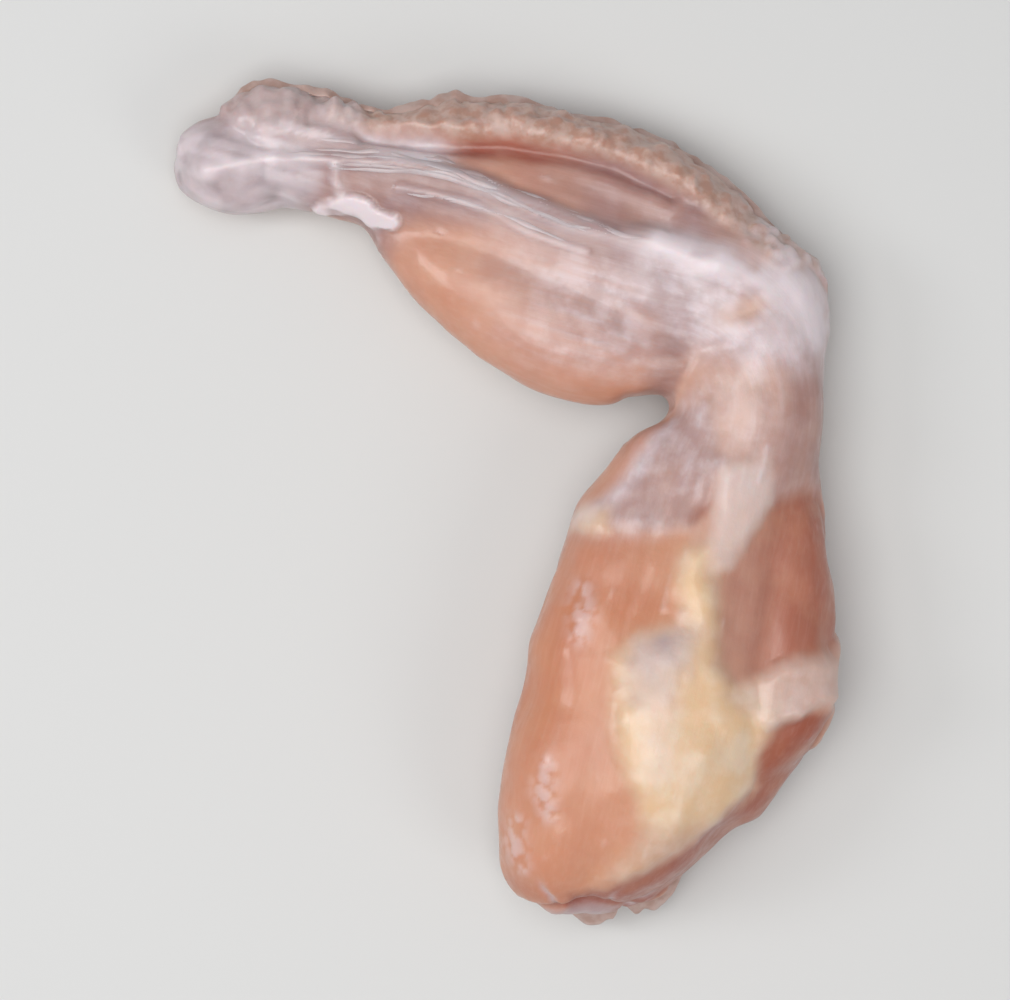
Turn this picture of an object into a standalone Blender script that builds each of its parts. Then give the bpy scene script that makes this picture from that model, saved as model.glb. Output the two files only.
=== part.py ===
"""A raw chicken wing without its skin or its tip: the flat and the drumette, bent at the elbow, lying on its side.

The wing is one piece of meat. Each muscle is a belly: an oval section carried along a curved path. The bellies of the
two limbs overlap round the bones, and are fused into one skin, as the real ones lie in one sleeve of thin membrane.
Tendons, fat and the torn edges of the membrane are then raised on that skin.

Metres, +Z up. The wing lies on Z = 0, +Y runs from the shoulder end to the elbow's side, and +X to the elbow.
"""

import math

import bmesh
import bpy
import numpy as np
from mathutils import Matrix, Vector
from mathutils.bvhtree import BVHTree

MM = 0.001

# The two limbs, in millimetres and degrees. A limb runs out from the middle of the elbow along its bearing.
ELBOW = (34.5, 25.0)
FLAT_BEARING = 164.1
DRUMETTE_BEARING = -104.2

# How finely bellies are lofted, the cells in which they are fused, in millimetres, and how often each skin is
# softened afterwards. The muscles blend into each other more than what lies on them.
BELLY_RINGS = 28
BELLY_SIDES = 24
MUSCLE_CELL = 1.0
MUSCLE_SOFTENING = 26
DETAIL_CELL = 0.8
DETAIL_SOFTENING = 3

# The number of triangles that the finished solid keeps.
TRIANGLES = 9600

# Higher than any part of the wing, in millimetres: where a line of sight down to its upper surface starts.
ABOVE_THE_WING = 60

# Shreds along the cut shoulder end: how far along the drumette, how far across, and half their width.
SHOULDER_SHREDS = ((83.4, -4.6, 2.0), (83.2, 0, 2.4), (82, 4.2, 1.8), (80.6, 7.4, 2.2))

# Brings the middle of the finished wing's outline to the origin.
CENTRE_SHIFT = (-0.6, 0.3)

# The meat sags where it rests: this much of it, in millimetres, is pressed flat.
PRESSED_FLAT = 0.9

# The share of its size below which a belly's end counts as shut.
SHUT = 1e-6

RAW_MEAT = (0.61, 0.33, 0.25, 1.0)
RAW_MEAT_ROUGHNESS = 0.35


def limb(bearing, outer_side):
    """A function that turns (along, across, height) on a limb, in millimetres, into a point in the part's frame.

    Across is positive towards the outside of the bend; outer_side is -1 where that is on the limb's right.
    """
    angle = math.radians(bearing)
    ahead = np.array([math.cos(angle), math.sin(angle)])
    outward = np.array([-ahead[1], ahead[0]]) * outer_side

    def place(along, across, height):
        x, y = np.array(ELBOW) + ahead * along + outward * across
        return np.array([x, y, height])

    return place


flat = limb(FLAT_BEARING, -1)
drumette = limb(DRUMETTE_BEARING, 1)


def through(values, share):
    """Catmull-Rom curve through evenly spaced values, read at a share from 0 to 1 of its length."""
    values = np.asarray(values, float)
    ends = np.concatenate([[2 * values[0] - values[1]], values, [2 * values[-1] - values[-2]]])
    place = share * (len(values) - 1)
    start = min(int(place), len(values) - 2)
    t = place - start
    a, b, c, d = ends[start : start + 4]
    return 0.5 * (2 * b + (c - a) * t + (2 * a - 5 * b + 4 * c - d) * t**2 + (3 * b - a - 3 * c + d) * t**3)


def add_belly(mesh, path, half_widths, half_heights, bluntness=3.0, skin=None):
    """Lofts one closed belly into a bmesh: an oval section carried along a path through the given points.

    The half width lies level and the half height upright, each read from its own curve. Both shrink to nothing at
    the two ends, the more suddenly the greater the bluntness is. Where a skin is given the belly is laid on it: half
    of each section stands out of the skin, and the other half is sunk into it.
    """
    rings = []
    for ring in range(BELLY_RINGS + 1):
        share = (1 - math.cos(math.pi * ring / BELLY_RINGS)) / 2
        centre = through(path, share)
        ahead = through(path, min(share + 0.01, 1)) - through(path, max(share - 0.01, 0))
        sideways = np.array([ahead[1], -ahead[0], 0]) / math.hypot(ahead[0], ahead[1])
        upright = np.cross(sideways, ahead)
        upright /= np.linalg.norm(upright)
        closing = math.sqrt(max(0.0, 1 - abs(2 * share - 1) ** bluntness))
        wide = through(half_widths, share) * closing
        high = through(half_heights, share) * closing
        corners = []
        for side in range(BELLY_SIDES if closing > SHUT else 1):
            turn = 2 * math.pi * side / BELLY_SIDES
            foot = centre + sideways * wide * math.cos(turn)
            if skin:
                foot, upright = skin.under(foot)
            corners.append(mesh.verts.new(foot + upright * high * math.sin(turn)))
        rings.append(corners)
    for near, far in zip(rings, rings[1:]):
        for side in range(BELLY_SIDES):
            after = (side + 1) % BELLY_SIDES
            corners = [near[side % len(near)], near[after % len(near)], far[after % len(far)], far[side % len(far)]]
            mesh.faces.new(dict.fromkeys(corners))


def add_laid(mesh, skin, limb_side, places, half_widths, half_heights, bluntness=3.0):
    """Adds a belly laid on the skin along the given places, each (along, across) on a limb."""
    add_belly(mesh, [limb_side(*place, 0) for place in places], half_widths, half_heights, bluntness, skin)


def add_flat(mesh):
    """The flat: the two forearm bones in their sleeve, the muscles above and below them, and the wrist's knuckles."""
    bones = [
        flat(-5, 1, 10.8),
        flat(16, 1, 10.8),
        flat(34, 3.6, 10.6),
        flat(52, 4.4, 9.2),
        flat(66, 3.6, 8),
        flat(80, 0, 7.4),
    ]
    add_belly(mesh, bones, [9, 11.5, 11, 7.8, 7, 6.2], [9, 8.8, 8.4, 7, 6.2, 6], bluntness=7)

    upper_muscle = [flat(-1, 2.6, 10), flat(12, 9.2, 10.8), flat(27, 12.2, 11), flat(42, 12, 10.4), flat(60, 8.4, 9)]
    add_belly(mesh, upper_muscle, [5.4, 7.4, 6, 5.4, 3.6], [6.4, 7, 6.4, 5.8, 4])

    lower_muscle = [
        flat(2, -5, 10.6),
        flat(15, -9.4, 11.4),
        flat(27, -9.4, 11.6),
        flat(41, -5.4, 10.6),
        flat(56, -0.6, 8.8),
    ]
    add_belly(mesh, lower_muscle, [7, 8.2, 8.6, 7.4, 3.8], [7.5, 8.2, 8.4, 7.4, 4.4])

    under_muscle = [flat(2, 1, 5.4), flat(22, 0, 5), flat(42, 4, 5), flat(60, 4, 5)]
    add_belly(mesh, under_muscle, [6, 11, 8, 4], [4, 4.6, 4.4, 3])

    large_knuckle = [flat(64, 0.2, 7.6), flat(73, 0, 7.4), flat(82.4, -0.8, 7.2)]
    add_belly(mesh, large_knuckle, [5, 6.4, 6.2], [5, 6.8, 6.2])
    small_knuckle = [flat(60, 6, 9), flat(69, 6.4, 9.2), flat(77, 5, 8.8)]
    add_belly(mesh, small_knuckle, [4, 5, 4.4], [4, 4.6, 4])


def add_elbow(mesh):
    """The elbow: the rounded ends of the bones, and the point of the elbow at the outside of the bend."""
    joint = [flat(-10, 0, 10.2), flat(1, 0.4, 10.6), flat(16, 0, 10.5)]
    add_belly(mesh, joint, [8, 10, 9.4], [7.4, 9, 8])
    point = [flat(-6.4, -7, 9.6), flat(-6.2, 0, 9.8), flat(-1, 5.4, 9.8)]
    add_belly(mesh, point, [3, 4.2, 3.6], [5, 6, 5])
    sheath = [flat(16, 3, 11), flat(4, 2.6, 11), drumette(4, 1.8, 11), drumette(18, 2.6, 11.4)]
    add_belly(mesh, sheath, [8.6, 8.6, 8.8, 9.2], [8.4, 8.6, 8.8, 9.2], bluntness=5)


def add_drumette(mesh):
    """The drumette: the upper arm bone in its sleeve, widening to the muscles at the cut shoulder end."""
    bone = [
        drumette(-5, 0.5, 10.8),
        drumette(13, 2, 11.2),
        drumette(30, 1.6, 12.4),
        drumette(47, 1, 13.2),
        drumette(65, -1.6, 13.2),
        drumette(83, -2.6, 12),
    ]
    add_belly(mesh, bone, [9.5, 10.9, 12, 14.5, 15.4, 12], [8.8, 9.2, 10.6, 12.2, 12.6, 10], bluntness=7)

    inner_muscle = [
        drumette(12, -3, 11),
        drumette(28, -8, 12.8),
        drumette(46, -8.8, 14),
        drumette(64, -9, 14.2),
        drumette(85.2, -7, 12.4),
    ]
    add_belly(mesh, inner_muscle, [4, 7, 8.2, 9.2, 9.8], [5, 8.2, 10.2, 11, 9.4], bluntness=8)

    outer_muscle = [
        drumette(8, 7.6, 10),
        drumette(23, 9.4, 11.2),
        drumette(39, 13.4, 11.8),
        drumette(53, 12.4, 11.6),
        drumette(67, 6, 11.2),
    ]
    add_belly(mesh, outer_muscle, [4, 6, 8.2, 8.6, 6], [5, 7.6, 9.2, 9.4, 9])

    side_muscle = [drumette(38, 15, 8.4), drumette(54, 13.2, 8.6), drumette(69, 6.4, 8.8), drumette(84, -2.4, 8.8)]
    add_belly(mesh, side_muscle, [5, 7, 7, 7.2], [6, 7.8, 8, 7], bluntness=5)

    under_muscle = [drumette(8, 0, 6), drumette(32, 0, 5.8), drumette(56, 0, 6), drumette(78, -2, 6.2)]
    add_belly(mesh, under_muscle, [6, 10.5, 12.5, 9], [5, 5.6, 6, 5.4])


class Skin:
    """The fused muscles, on which thinner things are laid."""

    def __init__(self, data):
        self.mesh = bmesh.new()
        self.mesh.from_mesh(data)
        self.tree = BVHTree.FromBMesh(self.mesh)

    def under(self, point):
        """Where the upper surface is straight under or over a point, in millimetres, and the way it faces there.

        Past the edge of the wing it is the nearest point of the surface.
        """
        above = Vector((point[0], point[1], ABOVE_THE_WING)) * MM
        found, normal, _, _ = self.tree.ray_cast(above, Vector((0, 0, -1)))
        if found is None:
            found, normal, _, _ = self.tree.find_nearest(Vector(point) * MM)
        return np.array(found) / MM, np.array(normal)


def add_tendons(mesh, skin):
    """The white strands that run from the wrist's knuckles down the flat, and fan out into the membrane."""
    middle = [(78, -1), (68, 1.6), (58, 4.6), (48, 6.2), (36, 5.8), (24, 5), (8, 5.6)]
    add_laid(mesh, skin, flat, middle, [1.8, 1.5, 1.4, 1.5, 1.7, 2.2, 1.8], [0.9, 1.1, 1.1, 1.0, 1.0, 0.9, 0.6])
    upper = [(77, 5), (66, 7.4), (56, 8.8), (46, 9.6)]
    add_laid(mesh, skin, flat, upper, [2.4, 1.9, 1.7, 1.2], [1.0, 1.1, 1.0, 0.7])
    lower = [(78, -3.4), (66, -1.6), (56, -0.6), (45, -0.4), (32, 0.4)]
    add_laid(mesh, skin, flat, lower, [2.2, 1.7, 1.4, 1.4, 1.1], [1.0, 1.1, 1.0, 0.9, 0.6])
    cut_end = [(63, -1.8), (57, -1.6), (51.5, -2.2), (48.6, -3.8)]
    add_laid(mesh, skin, flat, cut_end, [1.2, 1.9, 2.1, 1.5], [0.9, 1.5, 1.5, 1.0])


def add_fat(mesh, skin):
    """The fat: a pad over the drumette's middle with a strip up from it, a flap at its side, and a rim on the flat."""
    strip = [(27, 1.6), (36, 0.8), (45, 2), (54, 4)]
    add_laid(mesh, skin, drumette, strip, [1.6, 3, 5, 7], [0.8, 1.2, 1.4, 1.3])
    pad = [(44, 2.6), (54, 4), (64, 5.4), (77, 2.4)]
    add_laid(mesh, skin, drumette, pad, [5, 9.6, 9.6, 5], [1.3, 1.9, 2.0, 1.5], bluntness=4)
    flap = [(50, 6), (48, 11), (46, 17), (44.6, 22.4)]
    add_laid(mesh, skin, drumette, flap, [4.4, 3.8, 3.2, 2.8], [1.4, 1.6, 1.7, 1.7], bluntness=6)
    rim = [(64, 9.6), (56, 11.6), (48, 13.8), (40, 15.4), (32, 15.2), (23, 16.4), (14, 15.2), (5, 11.4), (-5, 4.8)]
    widths = [1.4, 2.0, 1.6, 2.4, 1.6, 2.4, 1.8, 2.2, 1.4]
    add_laid(mesh, skin, flat, rim, widths, [0.9, 1.4, 1.0, 1.6, 1.0, 1.6, 1.1, 1.4, 0.8], bluntness=9)


def add_scraps(mesh, _skin):
    """What the knife left: a lump of tissue at the wrist, the flap's loose end, and shreds along the shoulder end."""
    wrist = [flat(64, 9, 9.8), flat(70, 10.2, 10.4), flat(76, 7.4, 10)]
    add_belly(mesh, wrist, [1.8, 2.4, 1.6], [1.8, 2.6, 1.8])
    loose_end = [drumette(48, 14, 14), drumette(46, 18.6, 12.6), drumette(44.2, 21.4, 10)]
    add_belly(mesh, loose_end, [2.4, 2.2, 1.2], [3, 2.4, 1.6])
    for along, across, size in SHOULDER_SHREDS:
        shred = [drumette(along - 5, across, 9), drumette(along - 2, across, 7.4), drumette(along, across + 1, 6)]
        add_belly(mesh, shred, [size, size * 1.3, size], [1.1, 1.3, 0.9])


def mesh_of(name, *parts):
    """A mesh of all the closed pieces that the given functions add, in metres."""
    mesh = bmesh.new()
    for add in parts:
        add(mesh)
    bmesh.ops.recalc_face_normals(mesh, faces=mesh.faces)
    bmesh.ops.scale(mesh, vec=(MM, MM, MM), verts=mesh.verts)
    data = bpy.data.meshes.new(name)
    mesh.to_mesh(data)
    mesh.free()
    return data


def fused(name, data, cell, passes):
    """An object whose overlapping pieces are fused into one closed skin, and softened so many times."""
    thing = bpy.data.objects.new(name, data)
    bpy.context.scene.collection.objects.link(thing)
    fuse = thing.modifiers.new("fuse", "REMESH")
    fuse.mode = "VOXEL"
    fuse.voxel_size = cell * MM
    fuse.use_smooth_shade = True
    soften = thing.modifiers.new("soften", "SMOOTH")
    soften.factor = 0.5
    soften.iterations = passes
    return thing


def floor_cutter():
    """A block under the wing, whose top is the surface that the wing lies on."""
    bpy.ops.mesh.primitive_cube_add(size=1)
    block = bpy.context.object
    block.name = "floor_cutter"
    block.dimensions = (0.2, 0.2, 0.02)
    block.location = (0, 0, -0.01)
    block.display_type = "WIRE"
    block.hide_render = True
    return block


def raw_meat():
    material = bpy.data.materials.new("raw_meat")
    material.use_nodes = True
    shader = material.node_tree.nodes["Principled BSDF"]
    shader.inputs["Base Color"].default_value = RAW_MEAT
    shader.inputs["Roughness"].default_value = RAW_MEAT_ROUGHNESS
    shader.inputs["Metallic"].default_value = 0.0
    return material


def triangles_of(thing):
    """How many triangles the object has, with its modifiers."""
    evaluated = thing.evaluated_get(bpy.context.evaluated_depsgraph_get())
    return sum(len(face.vertices) - 2 for face in evaluated.data.polygons)


def build_wing():
    muscles = fused("muscles", mesh_of("muscles", add_flat, add_elbow, add_drumette), MUSCLE_CELL, MUSCLE_SOFTENING)
    graph = bpy.context.evaluated_depsgraph_get()
    softened = bpy.data.meshes.new_from_object(muscles.evaluated_get(graph))
    bpy.data.objects.remove(muscles)

    skin = Skin(softened)
    details = mesh_of("details", *(lambda mesh, add=add: add(mesh, skin) for add in (add_tendons, add_fat, add_scraps)))
    skin.mesh.from_mesh(details)
    skin.mesh.to_mesh(softened)
    softened.transform(Matrix.Translation((CENTRE_SHIFT[0] * MM, CENTRE_SHIFT[1] * MM, -PRESSED_FLAT * MM)))

    wing = fused("wing", softened, DETAIL_CELL, DETAIL_SOFTENING)
    wing.data.materials.append(raw_meat())
    thin_out = wing.modifiers.new("thin_out", "DECIMATE")
    thin_out.ratio = TRIANGLES / triangles_of(wing)
    rest = wing.modifiers.new("rest", "BOOLEAN")
    rest.operation = "DIFFERENCE"
    rest.object = floor_cutter()
    return wing


for leftover in list(bpy.data.objects):
    bpy.data.objects.remove(leftover, do_unlink=True)
build_wing()
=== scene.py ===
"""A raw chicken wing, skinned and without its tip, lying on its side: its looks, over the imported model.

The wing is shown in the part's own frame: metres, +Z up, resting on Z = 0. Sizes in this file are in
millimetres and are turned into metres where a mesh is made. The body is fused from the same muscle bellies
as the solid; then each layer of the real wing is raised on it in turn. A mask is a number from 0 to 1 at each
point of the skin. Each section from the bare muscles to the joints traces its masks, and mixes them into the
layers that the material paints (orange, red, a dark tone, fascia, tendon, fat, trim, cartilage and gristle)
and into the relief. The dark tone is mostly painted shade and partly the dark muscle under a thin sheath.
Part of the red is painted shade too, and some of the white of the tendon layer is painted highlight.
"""

import itertools
import math

import bmesh
import bpy
import numpy as np
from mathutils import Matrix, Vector


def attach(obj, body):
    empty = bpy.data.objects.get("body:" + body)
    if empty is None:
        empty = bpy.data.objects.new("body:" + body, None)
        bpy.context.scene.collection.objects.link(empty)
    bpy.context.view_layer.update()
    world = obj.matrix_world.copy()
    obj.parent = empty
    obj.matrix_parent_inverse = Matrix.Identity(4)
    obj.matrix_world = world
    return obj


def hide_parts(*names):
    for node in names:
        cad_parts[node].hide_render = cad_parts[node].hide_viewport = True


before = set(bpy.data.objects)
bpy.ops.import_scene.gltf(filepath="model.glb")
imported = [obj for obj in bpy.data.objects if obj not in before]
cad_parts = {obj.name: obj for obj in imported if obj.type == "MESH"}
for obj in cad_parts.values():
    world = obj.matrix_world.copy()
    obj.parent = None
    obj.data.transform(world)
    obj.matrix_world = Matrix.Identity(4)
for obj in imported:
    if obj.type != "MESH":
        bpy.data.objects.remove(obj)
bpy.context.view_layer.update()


# The studio. The wing lies on a pale matt table under a large soft light from above and a smaller one from
# either side, and the camera looks straight down on it through a long lens, as the photograph does.

MM = 0.001
FRAMED_HEIGHT = 138.0
CAMERA_HEIGHT = 620.0
SENSOR = 36.0
SKY_COLOUR = (0.9, 0.93, 1.0, 1.0)
SKY_STRENGTH = 0.32
TABLE_COLOUR = (0.66, 0.66, 0.65, 1.0)
TABLE_ROUGHNESS = 0.7


def placed(name, data):
    """A new object of the scene, with its origin at the wing's."""
    thing = bpy.data.objects.new(name, data)
    bpy.context.scene.collection.objects.link(thing)
    return thing


camera_data = bpy.data.cameras.new("camera")
camera_data.sensor_fit = "VERTICAL"
camera_data.sensor_height = SENSOR
camera_data.lens = SENSOR * CAMERA_HEIGHT / FRAMED_HEIGHT
camera_data.clip_start = 0.01
camera = placed("camera", camera_data)
camera.location = (0.0, 0.0, CAMERA_HEIGHT * MM)
bpy.context.scene.camera = camera


def add_light(name, place, size, power, colour):
    """A square area light at a place in metres, which faces the middle of the wing."""
    data = bpy.data.lights.new(name, "AREA")
    data.size = size
    data.energy = power
    data.color = colour
    light = placed(name, data)
    light.location = place
    light.rotation_euler = (-Vector(place)).to_track_quat("-Z", "Y").to_euler()


add_light("overhead", (-0.14, -0.04, 0.75), 0.6, 4.0, (1.0, 0.985, 0.96))
add_light("window", (-0.5, 0.05, 0.45), 0.2, 0.9, (0.97, 0.98, 1.0))
add_light("kicker", (0.35, -0.3, 0.4), 0.24, 0.5, (1.0, 0.98, 0.95))

world = bpy.data.worlds.new("studio")
world.use_nodes = True
sky = world.node_tree.nodes["Background"]
sky.inputs["Color"].default_value = SKY_COLOUR
sky.inputs["Strength"].default_value = SKY_STRENGTH
bpy.context.scene.world = world
bpy.context.scene.view_settings.view_transform = "Standard"

table_data = bpy.data.meshes.new("table")
table_data.from_pydata([(-2, -2, 0), (2, -2, 0), (2, 2, 0), (-2, 2, 0)], [], [(0, 1, 2, 3)])
table = placed("table", table_data)
table_finish = bpy.data.materials.new("table_finish")
table_finish.use_nodes = True
shader = table_finish.node_tree.nodes["Principled BSDF"]
shader.inputs["Base Color"].default_value = TABLE_COLOUR
shader.inputs["Roughness"].default_value = TABLE_ROUGHNESS
table_data.materials.append(table_finish)


# The muscles. Each is a belly of meat round the bones of its limb, in one sleeve of thin clear membrane.
# They are lofted one by one and fused, so that neighbours meet in soft valleys.

ELBOW = np.array([33.9, 25.3])
FLAT_BEARING = 164.1
DRUMETTE_BEARING = -104.2
PRESSED_FLAT = 0.9
CROOK = np.array([22.0, 12.7])
BEND_RADIUS = 14.0
LATTICE = 32
STRAND_POINTS = 40
BELLY_RINGS = 72
BELLY_SIDES = 56
FUSING_CELL = 0.435
SOFTENING = 80


def limb_frame(bearing, outer_side):
    """The unit vectors along a limb and across it, the second towards the outside of the bend."""
    angle = math.radians(bearing)
    ahead = np.array([math.cos(angle), math.sin(angle)])
    return ahead, np.array([-ahead[1], ahead[0]]) * outer_side


FLAT_AHEAD, FLAT_OUTWARD = limb_frame(FLAT_BEARING, -1)
DRUMETTE_AHEAD, DRUMETTE_OUTWARD = limb_frame(DRUMETTE_BEARING, 1)


def flat(*places):
    """Points on the flat, each given as (along, across, height)."""
    along, across, height = np.array(places, float).T
    plan = ELBOW + np.outer(along, FLAT_AHEAD) + np.outer(across, FLAT_OUTWARD)
    return np.column_stack([plan, height - PRESSED_FLAT])


def drumette(*places):
    """Points on the drumette, each given as (along, across, height)."""
    along, across, height = np.array(places, float).T
    plan = ELBOW + np.outer(along, DRUMETTE_AHEAD) + np.outer(across, DRUMETTE_OUTWARD)
    return np.column_stack([plan, height - PRESSED_FLAT])


def through(values, share):
    """Catmull-Rom curve: for each share of its length, the cubic between the two values round it whose
    slope at each value is half the step from the value before to the value after."""
    values = np.asarray(values, float)
    ends = np.concatenate([[2 * values[0] - values[1]], values, [2 * values[-1] - values[-2]]])
    place = np.asarray(share) * (len(values) - 1)
    start = np.minimum(place.astype(int), len(values) - 2)
    t = (place - start).reshape(place.shape + (1,) * (values.ndim - 1))
    a, b, c, d = (ends[start + step] for step in range(4))
    return 0.5 * (2 * b + (c - a) * t + (2 * a - 5 * b + 4 * c - d) * t**2 + (3 * b - a - 3 * c + d) * t**3)


def belly(path, half_widths, half_heights, bluntness=3.0):
    """A grid of rings round a path. A ring is centre + sideways w cos a + upright h sin a, where w and h
    come from their curves times the closing, the root of 1 - |2s - 1| to the bluntness, at the share s of
    the length."""
    share = (1 - np.cos(np.linspace(0, np.pi, BELLY_RINGS + 1))) / 2
    centre = through(path, share)
    ahead = np.gradient(centre, axis=0)
    sideways = np.column_stack([ahead[:, 1], -ahead[:, 0], np.zeros(len(ahead))])
    sideways /= np.linalg.norm(sideways, axis=1)[:, None]
    upright = np.cross(sideways, ahead)
    upright /= np.linalg.norm(upright, axis=1)[:, None]
    closing = np.sqrt(np.maximum(0, 1 - np.abs(2 * share - 1) ** bluntness))
    turn = np.linspace(0, 2 * np.pi, BELLY_SIDES, endpoint=False)
    wide = (through(half_widths, share) * closing)[:, None] * np.cos(turn)
    high = (through(half_heights, share) * closing)[:, None] * np.sin(turn)
    return centre[:, None] + sideways[:, None] * wide[..., None] + upright[:, None] * high[..., None]


def tube_faces(rings, sides):
    """The quads of a grid of rings that close on themselves: each corner, the next one round, and the same
    two on the next ring."""
    corner = np.arange(rings * sides).reshape(rings, sides)
    after = np.roll(corner, -1, axis=1)
    return np.stack([corner[:-1], after[:-1], after[1:], corner[1:]], axis=-1).reshape(-1, 4)


def mesh_of_grids(name, grids, faces):
    """One mesh of several grids of the same size, with the faces of one of them repeated for each."""
    size = grids[0].shape[0] * grids[0].shape[1]
    data = bpy.data.meshes.new(name)
    data.from_pydata(np.concatenate([grid.reshape(-1, 3) for grid in grids]) * MM, [],
                     np.concatenate([faces + number * size for number in range(len(grids))]))
    return data


# Each belly: the places its path goes through, its half widths and half heights there, and its bluntness.
bellies = [
    belly(flat((-5, 1, 10.8), (16, 1, 10.8), (34, 3.6, 10.6), (52, 4.4, 9.2), (66, 3.6, 8), (80, 0, 7.4)),
          [9, 11.5, 11, 7.8, 7, 6.2], [9, 8.8, 8.4, 7, 6.2, 6], 7),
    belly(flat((-1, 2.6, 10), (12, 9.2, 10.8), (27, 12.2, 11), (42, 12, 10.4), (60, 8.4, 9)),
          [5.4, 7.4, 6, 5.4, 3.6], [6.4, 7, 6.4, 5.8, 4]),
    belly(flat((2, -5, 10.6), (15, -9.4, 11.4), (27, -9.4, 11.6), (41, -5.4, 10.6), (56, -0.6, 8.8)),
          [7, 8.2, 8.6, 7.4, 3.8], [7.5, 8.2, 8.4, 7.4, 4.4]),
    belly(flat((2, 1, 5.4), (22, 0, 5), (42, 4, 5), (60, 4, 5)), [6, 11, 8, 4], [4, 4.6, 4.4, 3]),
    belly(flat((64, 0.2, 7.6), (73, 0, 7.4), (82.4, -0.8, 7.2)), [5, 6.4, 6.2], [5, 6.8, 6.2]),
    belly(flat((60, 6, 9), (69, 6.4, 9.2), (77, 5, 8.8)), [4, 5, 4.4], [4, 4.6, 4]),
    belly(flat((-10, 0, 10.2), (1, 0.4, 10.6), (16, 0, 10.5)), [8, 10, 9.4], [7.4, 9, 8]),
    belly(flat((-6.4, -7, 9.6), (-6.2, 0, 9.8), (-1, 5.4, 9.8)), [3, 4.2, 3.6], [5, 6, 5]),
    belly(np.concatenate([flat((16, 3, 11), (4, 2.6, 11)), drumette((4, 1.8, 11), (18, 2.6, 11.4))]),
          [8.6, 8.6, 8.8, 9.2], [8.4, 8.6, 8.8, 9.2], 5),
    belly(drumette((-5, 0.5, 10.8), (13, 2, 11.2), (30, 1.6, 12.4), (47, 1, 13.2), (65, -1.6, 13.2),
                   (83, -2.6, 12)),
          [9.5, 10.9, 12, 14.5, 15.4, 12], [8.8, 9.2, 10.6, 12.2, 12.6, 10], 7),
    belly(drumette((12, -3, 11), (28, -8, 12.8), (46, -8.8, 14), (64, -9, 14.2), (85.2, -7, 12.4)),
          [4, 7, 8.2, 9.2, 9.8], [5, 8.2, 10.2, 11, 9.4], 8),
    belly(drumette((8, 7.6, 10), (23, 9.4, 11.2), (39, 13.4, 11.8), (53, 12.4, 11.6), (67, 6, 11.2)),
          [4, 6, 8.2, 8.6, 6], [5, 7.6, 9.2, 9.4, 9]),
    belly(drumette((38, 15, 8.4), (54, 13.2, 8.6), (69, 6.4, 8.8), (84, -2.4, 8.8)),
          [5, 7, 7, 7.2], [6, 7.8, 8, 7], 5),
    belly(drumette((8, 0, 6), (32, 0, 5.8), (56, 0, 6), (78, -2, 6.2)), [6, 10.5, 12.5, 9], [5, 5.6, 6, 5.4]),
]
muscles = placed("muscles", mesh_of_grids("loft", bellies, tube_faces(BELLY_RINGS + 1, BELLY_SIDES)))
fuse = muscles.modifiers.new("fuse", "REMESH")
fuse.mode = "VOXEL"
fuse.voxel_size = FUSING_CELL * MM
fuse.use_smooth_shade = True
soften = muscles.modifiers.new("soften", "SMOOTH")
soften.factor = 0.5
soften.iterations = SOFTENING
meat_data = bpy.data.meshes.new_from_object(muscles.evaluated_get(bpy.context.evaluated_depsgraph_get()))
meat_data.name = "meat"
bpy.data.objects.remove(muscles)

points = np.empty((len(meat_data.vertices), 3), np.float32)
meat_data.vertices.foreach_get("co", points.ravel())
points = points.astype(float) / MM
normals = np.empty((len(points), 3), np.float32)
meat_data.vertex_normals.foreach_get("vector", normals.ravel())
normals = normals.astype(float)


def smooth_step(low, high, value):
    """0 below low, 1 above high, and 3t² - 2t³ between them."""
    t = np.clip((value - low) / (high - low), 0, 1)
    return t * t * (3 - 2 * t)


def murmur(places, cell, seed):
    """Soft noise from 0 to 1: random values on a cubic lattice of cells, blended between the eight corners
    of a cell by 3t² - 2t³ along each axis."""
    lattice = np.random.default_rng(seed).random((LATTICE, LATTICE, LATTICE))
    place = places / cell
    corner = np.floor(place).astype(int)
    t = place - corner
    t = t * t * (3 - 2 * t)
    total = np.zeros(len(places))
    for step in itertools.product((0, 1), repeat=3):
        weight = np.prod(np.where(np.array(step, bool), t, 1 - t), axis=1)
        total += weight * lattice[tuple((corner + step).T % LATTICE)]
    return total


def globules(places, cell, seed):
    """Rounded lumps from 0 to 1: one less the square of the distance, in cells, to the nearest of the
    points that stand one in each cell of a lattice, at a random place in it."""
    jitter = np.random.default_rng(seed).random((LATTICE, LATTICE, LATTICE, 3))
    corner = np.floor(places / cell).astype(int)
    nearest = np.full(len(places), np.inf)
    for step in itertools.product((-1, 0, 1), repeat=3):
        home = corner + step
        seedling = home + jitter[tuple(home.T % LATTICE)]
        nearest = np.minimum(nearest, ((seedling - places / cell) ** 2).sum(axis=1))
    return np.clip(1 - nearest, 0, 1)


def lay_of(places):
    """Along, across and up in the wing's own lie, which turns with the bend. On each limb along and across
    are straight; in the wedge between them they are the angle round the crook, and the distance from it."""
    plan = places[:, :2] - CROOK
    past_flat = plan @ FLAT_AHEAD
    past_drumette = plan @ DRUMETTE_AHEAD
    on_flat = past_flat > np.maximum(past_drumette, 0)
    on_drumette = past_drumette > np.maximum(past_flat, 0)
    bend = math.radians(FLAT_BEARING - 180 + 90 - (DRUMETTE_BEARING + 90))
    turned = np.arctan2(plan @ -FLAT_AHEAD, plan @ FLAT_OUTWARD)
    reach = np.hypot(*plan.T)
    past_bend = BEND_RADIUS * bend + past_drumette
    along = np.where(on_flat, -past_flat, np.where(on_drumette, past_bend, BEND_RADIUS * turned))
    across = np.where(on_flat, plan @ FLAT_OUTWARD, np.where(on_drumette, plan @ DRUMETTE_OUTWARD, reach))
    return np.column_stack([along, across, places[:, 2]])


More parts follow.
